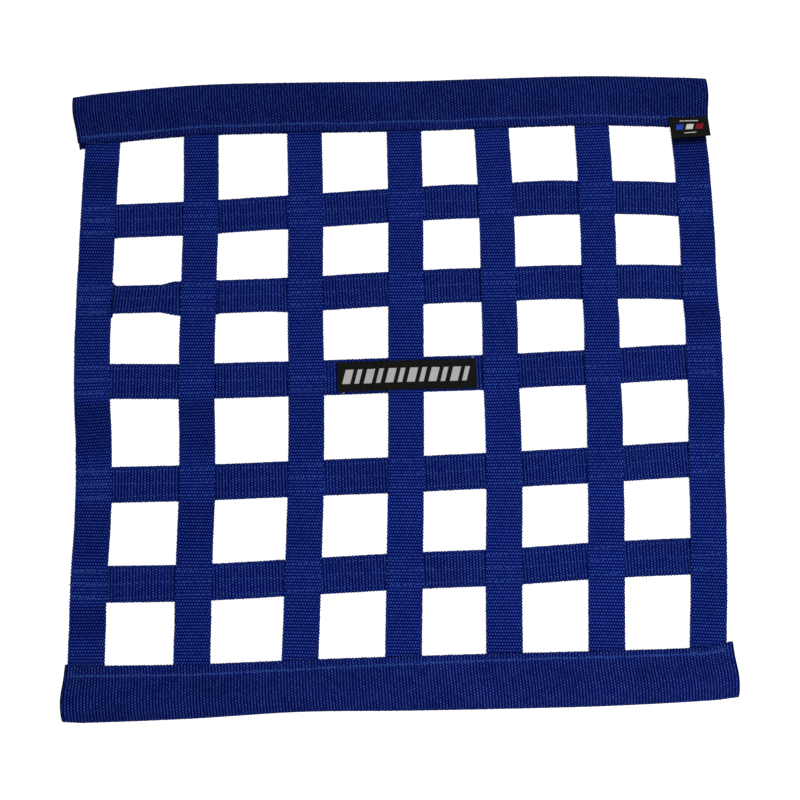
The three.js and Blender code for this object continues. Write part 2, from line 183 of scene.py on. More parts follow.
# At the left and right cut ends, lean: how far the hem's end stands along X from the fold's end, bow:
# how far the end bulges along X, and peep: how far the back layer shows past the hem. shade: the painted
# light on the cloth at the left and from the middle on, brighter towards the right, where more light falls.
# seam: the hem seam's distance from the hem's edge, from left to right. tack: which end the short cross
# stitches are measured from, and their reach from it.
SLEEVES = {
    "sleeve_top": dict(
        rows=TOP_SLEEVE, level="top", lean=(3.8, 0.1), bow=(-0.7, 0), peep=(3.5, 0), shade=(0.95, 0.99),
        seam=(4.9, 5.9, 6.5, 6.6, 6.6, 6.8), tack=(LEFT, 5, 46), seed=51,
    ),
    "sleeve_bottom": dict(
        rows=BOTTOM_SLEEVE, level="bottom", lean=(1.4, -1.4), bow=(-1.1, 0.6), peep=(0, 0), shade=(1.06, 1.2),
        seam=(7.2, 7.2, 6.2, 5.0, 4.5, 4.5), tack=(RIGHT, -30, -4), seed=52,
    ),
}
# How bright each upright is painted in its openings, from the top hem down: painted shade where it slopes
# away from the light, painted light where it faces it.
PAINTED_SLOPE_LIGHT = {
    "v1": (0.77, 0.92, 1, 0.75, 0.9, 0.76),
    "v2": (0.95, 1, 1, 0.8, 0.87, 1),
    "v3": (1, 1, 1, 1, 1, 1),
    "v4": (1, 1, 1, 1, 1.08, 1),
    "v5": (1, 1, 1, 1, 1.06, 1.12),
    "v6": (1, 1, 1, 1, 1.08, 1.06),
    "v7": (0.8, 0.9, 0.76, 0.96, 1, 0.94),
}
TAG_PAINTED_SHADOW = 0.2  # the painted shadow's brightness on the strap right under the tag's lower edge
TAG_PAINTED_SHADOW_REACH = 8.5

# Seeds of the random draws, raised by one from strap to strap
UPRIGHT_SEED = 11
CROSS_SEED = 31
STITCH_SEED = 71
SEAM_SEED = 81

# Label and tag
LABEL_LENGTH = 101.0
LABEL_WIDTH = 21.5
LABEL_THICK = 1.0
LABEL_X = 7.7
LABEL_Y = 5.95
LABEL_TURN = math.radians(0.1)
LABEL_SHELF = 2.0  # how far past the upright's edges the label stays level
LABEL_RAMP = 13.0  # over which it comes down from there to the cross strap
LABEL_STEP = 0.6
TAG_TOP = dict(left=208.7, leftY=194.8, right=238.1, rightY=194.5)
TAG_BOTTOM = dict(left=210.1, leftY=177.8, right=239, rightY=179.6)
TAG_LIFT = 0.9  # how much higher the tag's loose edge stands than its sewn edge
TAG_WIDTH = 29.2
TAG_LENGTH = 16.0
TAG_STEPS = (48, 28)
LABEL_THREAD = 1.3  # from one thread of the label's cloth to the next but one
MARK_SOFTNESS = 0.25

# The label's plain pattern of slanted bars, wide and narrow in turn: each bar's bounds down the label
# and along it, and the pattern's first place, length and count.
LABEL_SLANT = 0.28
LABEL_REPEAT = (7.2, 15.6, 6)
LABEL_BARS = ((5.4, 16.0, 0.4, 6.4), (5.4, 16.0, 9.2, 12.8))

# Sewing
STITCH_PITCH = 4.3
STITCH_GAP = 0.5
STITCH_JITTER = 0.2
STITCH_SLANT = 0.5  # how far down the strap a stitch's end lies from its start
STITCH_INSET = 1.2  # from a row's ends to the outer uprights' outer edges
STITCH_DIVE = 1.1  # how far a stitch's ends dive into the cloth, in radii of its thread
STITCH_TAPER = 0.12  # the square of the thread's share of its radius at its very ends
RADIUS_JITTER = 0.15
THREAD_STEPS = {1: (5, 5), -1: (4, 3)}  # sides of a thread and rings along a stitch, front and back
THREAD_RADIUS = 0.37
OPEN_RADIUS = 0.24  # of the thread where the cross straps lie in the openings
OPEN_SINK = 0.22  # how far the thread's middle lies below the ribs there
UNDER_RADIUS = 0.2
STITCH_ROWS = (9.4, 0.4, -9.0)  # across a cross strap, from its upper edge down
STITCH_WANDER = 0.45
WANDER_KNOTS = 18
THREAD_SINK = 0.2  # how far the thread's middle lies below the ribs on an inner crossing
THREAD_STAND = 0.06  # how far it lies above them on the first upright and the hems
LAST_STAND = 0.36  # and on the last upright
LAST_GAP = 0.9
LAST_THICKER = 1.4
OUTER_MARGIN = 1.0  # past an outer upright's edges, for the stitches that count as on it
LOCK_PITCH = 2.1  # of the stitches that lock the rows' ends on the first upright
LOCK_ASIDE = 0.95
LOCK_INSET = 1.5
LOCK_THINNER = 0.75
SEAM_PITCH = 3.6
SEAM_GAP = 0.1
SEAM_INSET = 3.5
SEAM_WANDER = 0.2
SEAM_JITTER = 0.12
SEAM_ROWS = ((SEAM_PITCH, 0.0, 0.44), (2.3, -0.75, 0.32))  # pitch, place and the thread's radius
LOOSE_RADIUS = 0.26
LOOSE_SIDES = 6
# Ends of thread: points along each, and its colour.
LOOSE_ENDS = (
    (((235.0, 11.4, 3.25), (236.8, 11.4, 3.3), (238.2, 11.0, 3.1), (239.6, 10.8, 2.9)), "blue"),
    (((-232.8, -137.2, 3.2), (-234.2, -137.0, 3.3), (-235.2, -136.8, 3.0), (-236.0, -136.9, 2.7)), "blue"),
    (((228.0, 1.4, 3.2), (229.6, 0.4, 3.35), (231.2, -0.9, 3.3), (232.6, -2.2, 3.2)), "blue"),
    (((-39.4, -5.7, 1.35), (-38.8, -5.6, 1.5), (-38.2, -5.6, 1.5), (-37.6, -5.7, 1.35)), "white"),
    (((55.2, 18.0, 1.3), (55.8, 18.2, 1.4), (56.4, 18.2, 1.35), (57.0, 18.1, 1.2)), "white"),
)
TACK_PITCH = 1.7  # between the short cross stitches at the end of a seam
TACK_LENGTH = 3.0
TACK_SHARE = 0.75  # of that length, the mean of what the stitches have
TACK_JITTER = 0.2
TACK_LEAN = 0.3
TACK_RADIUS = 0.32

# Colours, linear, and the cloth's patchiness
PATCHINESS = 0.4
PATCH_SCALE = 22.0  # patches to a metre
FIBRES = (7.0, 2.2)  # fine fibres to a warp yarn and to a pick
DOT_LEAST = 0.55  # the strength of the faintest painted highlight dots of the weave
DOT_SPREAD = 0.9
# The weave's three colours paint its light: the darkest is painted shade in the grooves between picks, the
# middle one is the cloth on its ribs, and the lightest is a painted highlight on each warp yarn's crown.
WEB_GROOVE_SHADE = (0.0, 0.0014, 0.065)
WEB_BODY = (0.0020, 0.0125, 0.156)
WEB_CROWN_HIGHLIGHT = (0.055, 0.096, 0.355)
THREAD_BLUE = (0.024, 0.066, 0.300)
THREAD_WHITE = (0.5, 0.5, 0.48)
LABEL_BLACK = (0.0072, 0.0072, 0.0066)
LABEL_GREY = (0.45, 0.45, 0.44)
TAG_BLUE = (0.02, 0.06, 0.42)
TAG_RED = (0.22, 0.012, 0.022)
TAG_WHITE = (0.62, 0.6, 0.56)

# The tag's plain pattern: each mark's colour, slant and bounds down the tag and across it.
TAG_MARKS = (
    (TAG_BLUE, 0.35, 5.6, 9.8, 7.0, 12.6),
    (TAG_WHITE, 0.35, 5.6, 9.8, 14.4, 20.0),
    (TAG_RED, 0.35, 5.6, 9.8, 21.8, 27.4),
    (TAG_WHITE, 0.0, 2.7, 3.5, 7.5, 21.5),
    (TAG_WHITE, 0.0, 12.0, 12.8, 9.5, 19.0),
)


def smooth_through(knots, values):
    """A smooth curve through the knots, with straight ends beyond the first and the last."""
    knots = np.asarray(knots, float)
    values = np.asarray(values, float)
    last = len(knots) - 1
    before = np.maximum(np.arange(last + 1) - 1, 0)
    after = np.minimum(np.arange(last + 1) + 1, last)
    slopes = (values[after] - values[before]) / (knots[after] - knots[before])

    def curve(at):
        at = np.asarray(at, float)
        i = np.clip(np.searchsorted(knots, at, side="right") - 1, 0, last - 1)
        span = knots[i + 1] - knots[i]
        s = np.clip((at - knots[i]) / span, 0, 1)
        inside = (
            (2 * s**3 - 3 * s**2 + 1) * values[i]
            + (s**3 - 2 * s**2 + s) * span * slopes[i]
            + (3 * s**2 - 2 * s**3) * values[i + 1]
            + (s**3 - s**2) * span * slopes[i + 1]
        )
        below = np.minimum(at - knots[0], 0) * slopes[0]
        above = np.maximum(at - knots[last], 0) * slopes[last]
        return inside + below + above

    return curve


def smooth_step(s):
    t = np.clip(s, 0, 1)
    return t * t * (3 - 2 * t)


def in_openings(at, level, amounts, shape, clearance=CLEARANCE):
    """Each opening's amount at the places at, times its shape along the opening, and 0 elsewhere."""
    reach = STRAP_WIDTH / 2 + clearance
    total = np.zeros(len(at))
    for i, amount in enumerate(amounts):
        towards = math.copysign(1, level[i + 1] - level[i])
        start = level[i] + towards * reach
        end = level[i + 1] - towards * reach
        s = np.clip((at - start) / (end - start), 0, 1)
        total += amount * shape(s)
    return total


def swell(s):
    return np.sin(np.pi * s) ** 2


def turned(s):
    return smooth_step(s / TWIST_IN) * smooth_step((1 - s) / TWIST_OUT)


def unit(v):
    return v / np.linalg.norm(v, axis=-1, keepdims=True)


def cross_route(name):
    row = CROSSES[name]
    xs = np.array([UPRIGHTS[v][name] for v in UPRIGHTS], float)
    ys = np.array([row[v] for v in UPRIGHTS], float)
    return xs, smooth_through(xs, ys)


def cross_frame(name, x):
    """Middle, across (to the lower edge) and up of a cross strap at the places x."""
    level, route = cross_route(name)
    lift = in_openings(x, level, CROSS_LIFT[name], swell)
    roll = np.radians(in_openings(x, level, CROSS_ROLL[name], turned, ROLL_CLEARANCE))
    slope = route(x + 0.5) - route(x - 0.5)
    across = unit(np.stack([slope, -np.ones_like(x), np.zeros_like(x)], axis=-1))
    rise = STRAP_WIDTH / 2 * np.abs(np.sin(roll)) + WEB_THICK / 2 * np.cos(roll)
    drawn_in = DRAW * STRAP_WIDTH / 2 * (1 - np.cos(roll)) * np.sign(roll)
    centre = np.stack([x, route(x), CROSS_Z + lift + rise], axis=-1) + drawn_in[:, None] * across
    return centre, *rolled(across, roll)


def rolled(across, roll):
    sin = np.sin(roll)[:, None]
    cos = np.cos(roll)[:, None]
    up = np.array([0.0, 0.0, 1.0])
    return across * cos + up * sin, up * cos - across * sin


def along_sleeve(rows, key, x):
    """A sleeve's fold, hem or crown at x."""
    return float(smooth_through([row["x"] for row in rows], [row[key] for row in rows])(x))


def upright_route(name):
    row = UPRIGHTS[name]
    top = along_sleeve(TOP_SLEEVE, "hem", row["top"])
    bottom = along_sleeve(BOTTOM_SLEEVE, "hem", row["bottom"])
    level = [top, *(CROSSES[h][name] for h in CROSSES), bottom]
    places = [row["top"], *(row[h] for h in CROSSES), row["bottom"]]
    return np.array(level, float), smooth_through(level[::-1], places[::-1])


def upright_frame(name, y):
    level, route = upright_route(name)
    lift = in_openings(y, level, UPRIGHT_LIFT[name], swell)
    slope = route(y + 0.5) - route(y - 0.5)
    across = unit(np.stack([np.ones_like(y), -slope, np.zeros_like(y)], axis=-1))
    centre = np.stack([route(y), y, UPRIGHT_Z + WEB_THICK / 2 + lift], axis=-1)
    return centre, *rolled(across, np.zeros_like(y))


def weave_depth(row, column, noise):
    """How far the cloth's face lies below its crowns, for half-pick rows and warp columns."""
    pick = row // 2
    groove = row % 2 == 0
    down = (pick + column) % 2 == 1
    depth = np.where(groove, GROOVE_DEPTH, np.where(down, DOWN_DEPTH, 0.0))
    return depth + CROWN_JITTER * noise


def new_mesh(name, points, face_groups, coords=None, material=None, tone=None):
    """A mesh object from points in millimetres, groups of faces, each corner's place in the weave and
    each point's brightness."""
    mesh = bpy.data.meshes.new(name)
    groups = [np.asarray(group, dtype=np.int32) for group in face_groups]
    corners = np.concatenate([group.ravel() for group in groups])
    sizes = np.concatenate([np.full(len(group), group.shape[1]) for group in groups])
    starts = np.concatenate([[0], np.cumsum(sizes)[:-1]]).astype(np.int32)
    mesh.vertices.add(len(points))
    mesh.vertices.foreach_set("co", (np.asarray(points) * MM).astype(np.float32).ravel())
    mesh.loops.add(len(corners))
    mesh.loops.foreach_set("vertex_index", corners)
    mesh.polygons.add(len(sizes))
    mesh.polygons.foreach_set("loop_start", starts)
    mesh.polygons.foreach_set("use_smooth", np.ones(len(sizes), dtype=bool))
    if coords is not None:
        layer = mesh.uv_layers.new(name="Weave")
        layer.data.foreach_set("uv", np.asarray(coords, dtype=np.float32).ravel())
    if tone is not None:
        shades = mesh.attributes.new("tone", "FLOAT", "POINT")
        shades.data.foreach_set("value", np.asarray(tone, dtype=np.float32).ravel())
    mesh.update(calc_edges=True)
    mesh.validate()
    obj = bpy.data.objects.new(name, mesh)
    bpy.context.scene.collection.objects.link(obj)
    if material is not None:
        mesh.materials.append(material)
    return obj


def tube_sides(rings, around, along):
    """The quads round a tube of rings, and each corner's place in the weave: around holds the column at
    each ring point and once more at the ring's end, and along the pick of each ring."""
    rows, count = rings.shape[:2]
    near = np.arange(rows - 1)[:, None] * count
    far = near + count
    point = np.arange(count)[None, :]
    after = (point + 1) % count
    quads = np.stack([near + point, far + point, far + after, near + after], axis=-1)
    shape = (rows - 1, count)
    u0 = np.broadcast_to(around[:-1], shape)
    u1 = np.broadcast_to(around[1:], shape)
    v0 = np.broadcast_to(along[:-1, None], shape)
    v1 = np.broadcast_to(along[1:, None], shape)
    corners = [np.stack(corner, axis=-1) for corner in ((u0, v0), (u0, v1), (u1, v1), (u1, v0))]
    return quads.reshape(-1, 4), np.stack(corners, axis=-2).reshape(-1, 2)


def ring_mesh(name, rings, around, along, material, tone=None):
    """A closed tube of flat rings."""
    rows, count = rings.shape[:2]
    quads, coords = tube_sides(rings, around, along)
    caps, cap_coords = cap_faces(rows, count, around, along)
    coords = np.concatenate([coords, cap_coords])
    return new_mesh(name, rings.reshape(-1, 3), [quads, caps], coords, material, tone)


def cap_faces(rows, count, around, along):
    """Quads that close both ends of a tube whose first half faces its second half."""
    half = count // 2
    faces = []
    coords = []
    for row, place, turn in ((0, along[0], 1), (rows - 1, along[-1], -1)):
        base = row * count
        for i in range(half - 1):
            opposite = base + count - 1 - i
            faces.append([base + i, base + i + 1, opposite - 1, opposite][::turn])
            coords.extend([(around[i], place), (around[i + 1], place)] * 2)
    return np.array(faces), np.array(coords)


def faced_out(obj):
    """Turns the faces round where the closed mesh is inside out."""
    mesh = obj.data
    count = len(mesh.vertices)
    points = np.empty(count * 3)
    mesh.vertices.foreach_get("co", points)
    points = points.reshape(-1, 3)
    mesh.calc_loop_triangles()
    triangles = np.empty(len(mesh.loop_triangles) * 3, dtype=np.int32)
    mesh.loop_triangles.foreach_get("vertices", triangles)
    a, b, c = points[triangles.reshape(-1, 3)].transpose(1, 0, 2)
    if np.einsum("ij,ij->", a, np.cross(b, c)) < 0:
        mesh.flip_normals()
    return obj


def on_crossing(place, crossings):
    """1 where a strap is sewn to another and 0 in its openings, with a soft step between."""
    nearest = np.abs(place[:, None] - np.asarray(crossings)[None, :]).min(axis=1)
    return smooth_step((STRAP_WIDTH / 2 + SEWN_SOFTNESS / 2 - nearest) / SEWN_SOFTNESS)


def add_strap(name, start, end, frame_of, crossings, painted_light_at, seed, material):
    """A woven strap from start to end: two faces of warp yarns and the selvedges between them."""
    rng = np.random.default_rng(seed)
    rows = int(round(abs(end - start) / (PICK / 2))) + 1
    place = np.linspace(start, end, rows)
    centre, across, up = frame_of(name, place)
    row = np.arange(rows)
    column = np.arange(COLUMNS)
    half = STRAP_WIDTH / 2
    sewn = on_crossing(place, crossings)
    spots = (column + 0.5) * COLUMN - half
    shoulder = SHOULDER_DEPTH * np.exp(-((half - np.abs(spots)) / SHOULDER_REACH) ** 2)
    face = []
    for side in (1, -1):
        noise = rng.normal(size=(rows, COLUMNS))
        depth = weave_depth(row[:, None], column + (side < 0), noise)
        depth = depth * (1 - PRESSED * sewn[:, None]) + shoulder
        drift = YARN_DRIFT * rng.normal(size=(rows, COLUMNS))
        face.append((spots + drift)[:, ::side])
        face.append(side * (WEB_THICK / 2 - depth)[:, ::side])
    stands = EDGE_OUT - EDGE_SCALLOP * np.cos(np.pi * row)
    right = half + stands + EDGE_JITTER * rng.normal(size=rows)
    left = -half - stands - EDGE_JITTER * rng.normal(size=rows)
    edge = EDGE_SHARE * WEB_THICK
    sideways = np.concatenate([face[0], np.stack([right] * 2, -1), face[2], np.stack([left] * 2, -1)], axis=1)
    pair = np.tile([edge, -edge], (rows, 1))
    heights = np.concatenate([face[1], pair, face[3], -pair], axis=1)
    rings = centre[:, None, :] + sideways[..., None] * across[:, None, :]
    rings += heights[..., None] * up[:, None, :]
    yarns = column + 0.5
    selvedge = np.array([0.2, 0.8])
    around = np.concatenate(
        [yarns, COLUMNS + selvedge, COLUMNS + 1 + yarns, 2 * COLUMNS + 1 + selvedge]
    )
    # the ring starts in the middle of the left selvedge, so that its halves face each other
    rings = np.roll(rings, 1, axis=1)
    around = np.concatenate([[-0.2], around])
    # painted light and shade along the strap, times the shine where it is sewn
    tone = (1 + SEWN_SHINE * sewn) * painted_light_at(place)
    tone = np.repeat(tone[:, None], rings.shape[1], axis=1)
    strap = faced_out(ring_mesh(name + "_web", rings, around, row / 2, material, tone))
    woven(strap, "strap_" + name)


def sleeve_line(width, hem_height, crown, peep, side):
    """Points round a sleeve, side half a thickness out of the cloth's middle line."""
    offset = side * WEB_THICK / 2
    crown_out = width - WEB_THICK / 2 - NOSE_HIGH_REACH
    run = crown_out - HEM_WIDTH
    outs = [np.linspace(0, HEM_WIDTH, HEM_STEPS, endpoint=False)]
    zs = [np.full(HEM_STEPS, hem_height)]
    face = [np.full(HEM_STEPS, np.pi / 2)]
    s = np.linspace(0, 1, CURVE_STEPS, endpoint=False)
    outs.append(HEM_WIDTH + run * s)
    zs.append(hem_height + (crown - hem_height) * (1 - np.cos(np.pi * s)) / 2)
    face.append(np.pi / 2 + np.arctan((crown - hem_height) * np.pi * np.sin(np.pi * s) / (2 * run)))
    for reach, rise, low, high in (
        (NOSE_HIGH_REACH, crown - NOSE_HEIGHT, 0, np.pi / 2),
        (NOSE_LOW_REACH, NOSE_HEIGHT - WEB_THICK / 2, np.pi / 2, np.pi),
    ):
        angle = np.linspace(low, high, CURVE_STEPS, endpoint=False)
        outs.append(width - WEB_THICK / 2 - reach * (1 - np.sin(angle)))
        zs.append(NOSE_HEIGHT + rise * np.cos(angle))
        face.append(np.arctan2(reach * np.cos(angle), rise * np.sin(angle)))
    outs.append(np.linspace(width - WEB_THICK / 2 - NOSE_LOW_REACH, -peep, CURVE_STEPS))
    zs.append(np.full(CURVE_STEPS, WEB_THICK / 2))
    face.append(np.full(CURVE_STEPS, -np.pi / 2))
    outs, zs, face = (np.concatenate(part) for part in (outs, zs, face))
    return outs + offset * np.cos(face), zs + offset * np.sin(face), face


def spaced(outs, zs, face, spots):
    """The line's points at the given shares of its length."""
    steps = np.hypot(np.diff(outs), np.diff(zs))
    length = np.concatenate([[0], np.cumsum(steps)])
    at = spots * length[-1]
    return (np.interp(at, length, part) for part in (outs, zs, face))


def sleeve_ends(name):
    rows = SLEEVES[name]["rows"]
    return rows[0]["x"], rows[-1]["x"]


def from_ends(name, key, x):
    """What a sleeve's cut ends add at x, which dies out over FAN_REACH."""
    left, right = sleeve_ends(name)
    at_left, at_right = SLEEVES[name][key]
    from_left = max(0.0, 1 - (x - left) / FAN_REACH) ** 2
    from_right = max(0.0, 1 - (right - x) / FAN_REACH) ** 2
    return at_left * from_left + at_right * from_right


def sleeve_section(name, x):
    """A sleeve's section at x: its hem edge, direction to the fold, width, hem height, crown and peep."""
    sleeve = SLEEVES[name]
    fold, hem, crown = (along_sleeve(sleeve["rows"], key, x) for key in ("fold", "hem", "crown"))
    straps = [UPRIGHTS[v][sleeve["level"]] for v in UPRIGHTS]
    level = STRAP_WIDTH / 2 + CLEARANCE
    nearest = min(abs(strap - x) for strap in straps)
    lowered = 0.0
    if straps[0] <= x <= straps[-1]:
        lowered = float(smooth_step((nearest - level) / HEM_SLOPE))
    hem_height = HEM_OVER_STRAP + (HEM_BETWEEN - HEM_OVER_STRAP) * lowered
    start = np.array([x + from_ends(name, "lean", x), hem])
    out = np.array([x, fold]) - start
    width = np.linalg.norm(out)
    return start, out / width, width, hem_height, crown, from_ends(name, "peep", x)


def seam_at(name, x):
    """The hem seam's distance from the hem's edge at x."""
    marks = SLEEVES[name]["seam"]
    return smooth_through(np.linspace(*sleeve_ends(name), len(marks)), marks)(x)


def leaned(values, shift):
    """Each column's values taken from as many rings further on as its shift says."""
    rings = np.arange(len(values))
    columns = [np.interp(rings + shift[:, j], rings, column) for j, column in enumerate(values.T)]
    return np.stack(columns, axis=1)


def sleeve_mesh(name, material):
    """A folded sleeve: a ring of yarns outside and a ring of wider steps inside at each half pick."""
    rng = np.random.default_rng(SLEEVES[name]["seed"])
    left, right = sleeve_ends(name)
    count = int(round((right - left) / (SLEEVE_PICK / 2))) + 1
    xs = np.linspace(left, right, count)
    outer_spots = (np.arange(SLEEVE_COLUMNS) + 0.5) / SLEEVE_COLUMNS
    inner_spots = (np.arange(LINING_COLUMNS) + 0.5) / LINING_COLUMNS
    rings = np.zeros((count, SLEEVE_COLUMNS + LINING_COLUMNS, 3))
    facing_out = np.zeros((count, SLEEVE_COLUMNS, 3))
    tone = np.full((count, SLEEVE_COLUMNS + LINING_COLUMNS), INSIDE_PAINTED_SHADE)
    pinch = np.zeros((count, SLEEVE_COLUMNS))
    lower_side = np.zeros((count, SLEEVE_COLUMNS))
    for k, x in enumerate(xs):
        start, out, width, hem_height, crown, showing = sleeve_section(name, x)
        outs, zs, face = spaced(*sleeve_line(width, hem_height, crown, showing, 1), outer_spots)
        seam = float(seam_at(name, x))
        front = face > 0
        pinch[k] = np.exp(-((outs - seam) / SEAM_WIDTH) ** 2) * front
        tone[k, :SLEEVE_COLUMNS] = 1 + HEM_SHINE * smooth_step((seam - outs) / HEM_SOFTNESS) * front
        facing_out[k, :, :2] = np.cos(face)[:, None] * out
        facing_out[k, :, 2] = np.sin(face)
        lower_side[k] = -out[1] * (outs - width / 2)
        inner_out, inner_z, _ = spaced(*sleeve_line(width, hem_height, crown, showing, -1), inner_spots)
        outs = np.concatenate([outs, inner_out[::-1]])
        rings[k, :, :2] = start + outs[:, None] * out
        rings[k, :, 0] += from_ends(name, "bow", x) * np.sin(np.pi * np.clip(outs / width, 0, 1))
        rings[k, :, 2] = np.concatenate([zs, inner_z[::-1]])
    full = smooth_step(np.minimum(xs - left, right - xs) / LEAN_REACH)
    shift = RIB_LEAN * lower_side * full[:, None] * (count - 1) / (right - left)
    outer = slice(0, SLEEVE_COLUMNS)
    for axis in range(3):
        rings[:, outer, axis] = leaned(rings[:, outer, axis], shift)
        facing_out[:, :, axis] = leaned(facing_out[:, :, axis], shift)
    pinch = leaned(pinch, shift)
    noise = rng.normal(size=(count, SLEEVE_COLUMNS))
    ragged = rng.normal(size=(count, 2))
    fray = rng.normal(size=(2, SLEEVE_COLUMNS))
    row = np.arange(count)
    depth = weave_depth(row[:, None], np.arange(SLEEVE_COLUMNS)[None, :], noise) + SEAM_PINCH * pinch
    rings[:, outer] -= depth[..., None] * facing_out
    stands = SLEEVE_EDGE_OUT - EDGE_SCALLOP * np.cos(np.pi * row)
    towards_hem = -1 if SLEEVES[name]["level"] == "top" else 1
    for edge, column in enumerate((0, SLEEVE_COLUMNS - 1)):
        rings[:, column, 1] += towards_hem * (stands + SLEEVE_EDGE_JITTER * ragged[:, edge])
    # painted light along the sleeve, brighter towards the right, where more light falls
    at_left, at_right = SLEEVES[name]["shade"]
    shade = at_left + (at_right - at_left) * smooth_step((xs - left) / (right - left) * SHADE_PACE)
    tone[:, outer] *= shade[:, None] * (1 + SEAM_SHINE * pinch)
    # painted shade along both cut ends
    for end_shade, inwards, yarns in zip(CUT_END_PAINTED_SHADE.values(), (xs - left, right - xs), fray):
        unshaded = inwards[:, None] - end_shade["inset"] - end_shade["fray"] * yarns
        tone[:, outer] *= end_shade["tone"] + (1 - end_shade["tone"]) * smooth_step(unshaded / end_shade["reach"])
    top = np.arange(SLEEVE_COLUMNS) + 0.5
    lining = SLEEVE_COLUMNS + 1 + (np.arange(LINING_COLUMNS) + 0.5) * SLEEVE_COLUMNS / LINING_COLUMNS
    around = np.concatenate([top, lining, [2 * SLEEVE_COLUMNS + 1.5]])
    return faced_out(sleeve_tube(name + "_web", rings, around, row / 2, material, tone))


def sleeve_tube(name, rings, around, along, material, tone):
    """A closed mesh from sleeve rings, whose cut ends join two outer steps to each inner one."""
    rows, count = rings.shape[:2]
    quads, coords = tube_sides(rings, around, along)
    share = SLEEVE_COLUMNS // LINING_COLUMNS
    faces = []
    cap_coords = []
    for end, turn in ((0, 1), (rows - 1, -1)):
        base = end * count
        for i in range(SLEEVE_COLUMNS - 1):
            near = base + count - 1 - i // share
            far = base + count - 1 - (i + 1) // share
            found = [[base + i, base + i + 1, near]]
            if near != far:
                found.append([base + i + 1, far, near])
            for triangle in found:
                faces.append(triangle[::turn])
                cap_coords.extend([(around[i], along[end])] * 3)
    coords = np.concatenate([coords, cap_coords])
    return new_mesh(name, rings.reshape(-1, 3), [quads, faces], coords, material, tone)


class Nodes:
    """Short calls for a material's nodes."""

    def __init__(self, name):
        self.material = bpy.data.materials.new(name)
        self.material.use_nodes = True
        self.tree = self.material.node_tree
        self.shader = self.tree.nodes["Principled BSDF"]

    def add(self, kind, **settings):
        node = self.tree.nodes.new(kind)
        for key, value in settings.items():
            setattr(node, key, value)
        return node

    def join(self, source, target):
        self.tree.links.new(source, target)

    def feed(self, socket, value):
        if isinstance(value, bpy.types.NodeSocket):
            self.join(value, socket)
        else:
            socket.default_value = value

    def math(self, operation, *values):
        node = self.add("ShaderNodeMath", operation=operation)
        for socket, value in zip(node.inputs, values):
            self.feed(socket, value)
        return node.outputs[0]

    def mix(self, share, dark, light):
        node = self.add("ShaderNodeMix", data_type="RGBA")
        self.feed(node.inputs["Factor"], share)
        for socket, value in ((node.inputs[6], dark), (node.inputs[7], light)):
            self.feed(socket, value if isinstance(value, bpy.types.NodeSocket) else (*value, 1.0))
        return node.outputs[2]

    def vector_math(self, operation, vector, name, value):
        node = self.add("ShaderNodeVectorMath", operation=operation)
        self.join(vector, node.inputs[0])
        self.feed(node.inputs[name], value)
        return node.outputs[0]

    def weave(self):
        """A point's place in the weave: as a whole, across the webbing and along it."""
        uv = self.add("ShaderNodeUVMap", uv_map="Weave")
        split = self.add("ShaderNodeSeparateXYZ")
        self.join(uv.outputs[0], split.inputs[0])
        return uv.outputs[0], split.outputs[0], split.outputs[1]

    def noise(self, scale, place=None, dimensions="3D"):
        node = self.add("ShaderNodeTexNoise", noise_dimensions=dimensions)
        node.inputs["Scale"].default_value = scale
        if place is None:
            place = self.add("ShaderNodeTexCoord").outputs["Object"]
        self.join(place, node.inputs["Vector"])
        return node.outputs["Fac"]

    def finished(self, roughness, specular):
        self.shader.inputs["Roughness"].default_value = roughness
        self.shader.inputs["Specular IOR Level"].default_value = specular
        return self.material


def webbing_material(name, tone, rib, rib_power, dot, across_power, along_power):
    """Ribbed webbing: a body tone along each pick, a painted highlight dot where each warp yarn passes over
    it, and painted shade in the grooves between. rib and dot are their strengths, and the powers narrow them."""
    n = Nodes(name)
    both, u, v = n.weave()
    pick = n.math("FLOOR", v)
    paired = n.math("MULTIPLY", n.math("ADD", u, pick), 0.5)
    across = n.math("MULTIPLY_ADD", n.math("SINE", n.math("MULTIPLY", paired, 2 * math.pi)), 0.5, 0.5)
    along = n.math("SINE", n.math("MULTIPLY", n.math("FRACT", v), math.pi))
    narrow_across = n.math("POWER", across, across_power)
    narrow_along = n.math("POWER", along, along_power)
    round_dot = n.math("MULTIPLY", narrow_across, narrow_along)
    spot = n.add("ShaderNodeCombineXYZ")
    n.join(n.math("FLOOR", n.math("ADD", paired, 0.25)), spot.inputs[0])
    n.join(pick, spot.inputs[1])
    chance = n.add("ShaderNodeTexWhiteNoise", noise_dimensions="2D")
    n.join(spot.outputs[0], chance.inputs["Vector"])
    strength = n.math("MULTIPLY_ADD", chance.outputs["Value"], DOT_SPREAD * dot, DOT_LEAST * dot)
    varied = n.math("MULTIPLY", round_dot, strength)
    ridge = n.math("MULTIPLY", n.math("POWER", along, rib_power), rib)
    # painted shade towards each groove, painted highlights on the yarns' crowns
    colour = n.mix(varied, n.mix(ridge, WEB_GROOVE_SHADE, WEB_BODY), WEB_CROWN_HIGHLIGHT)
    patchy = n.math("MULTIPLY_ADD", n.noise(PATCH_SCALE), PATCHINESS, tone - PATCHINESS / 2)
    shade = n.add("ShaderNodeAttribute", attribute_name="tone")
    shaded = n.math("MULTIPLY", patchy, shade.outputs["Fac"])
    n.join(n.vector_math("SCALE", colour, "Scale", shaded), n.shader.inputs["Base Color"])
    stretched = n.vector_math("MULTIPLY", both, 1, (*FIBRES, 1.0))
    bump = n.add("ShaderNodeBump")
    bump.inputs["Strength"].default_value = 0.35
    bump.inputs["Distance"].default_value = 0.0001
    n.join(n.noise(1.0, stretched, "2D"), bump.inputs["Height"])
    n.join(bump.outputs[0], n.shader.inputs["Normal"])
    return n.finished(roughness=0.6, specular=0.004)


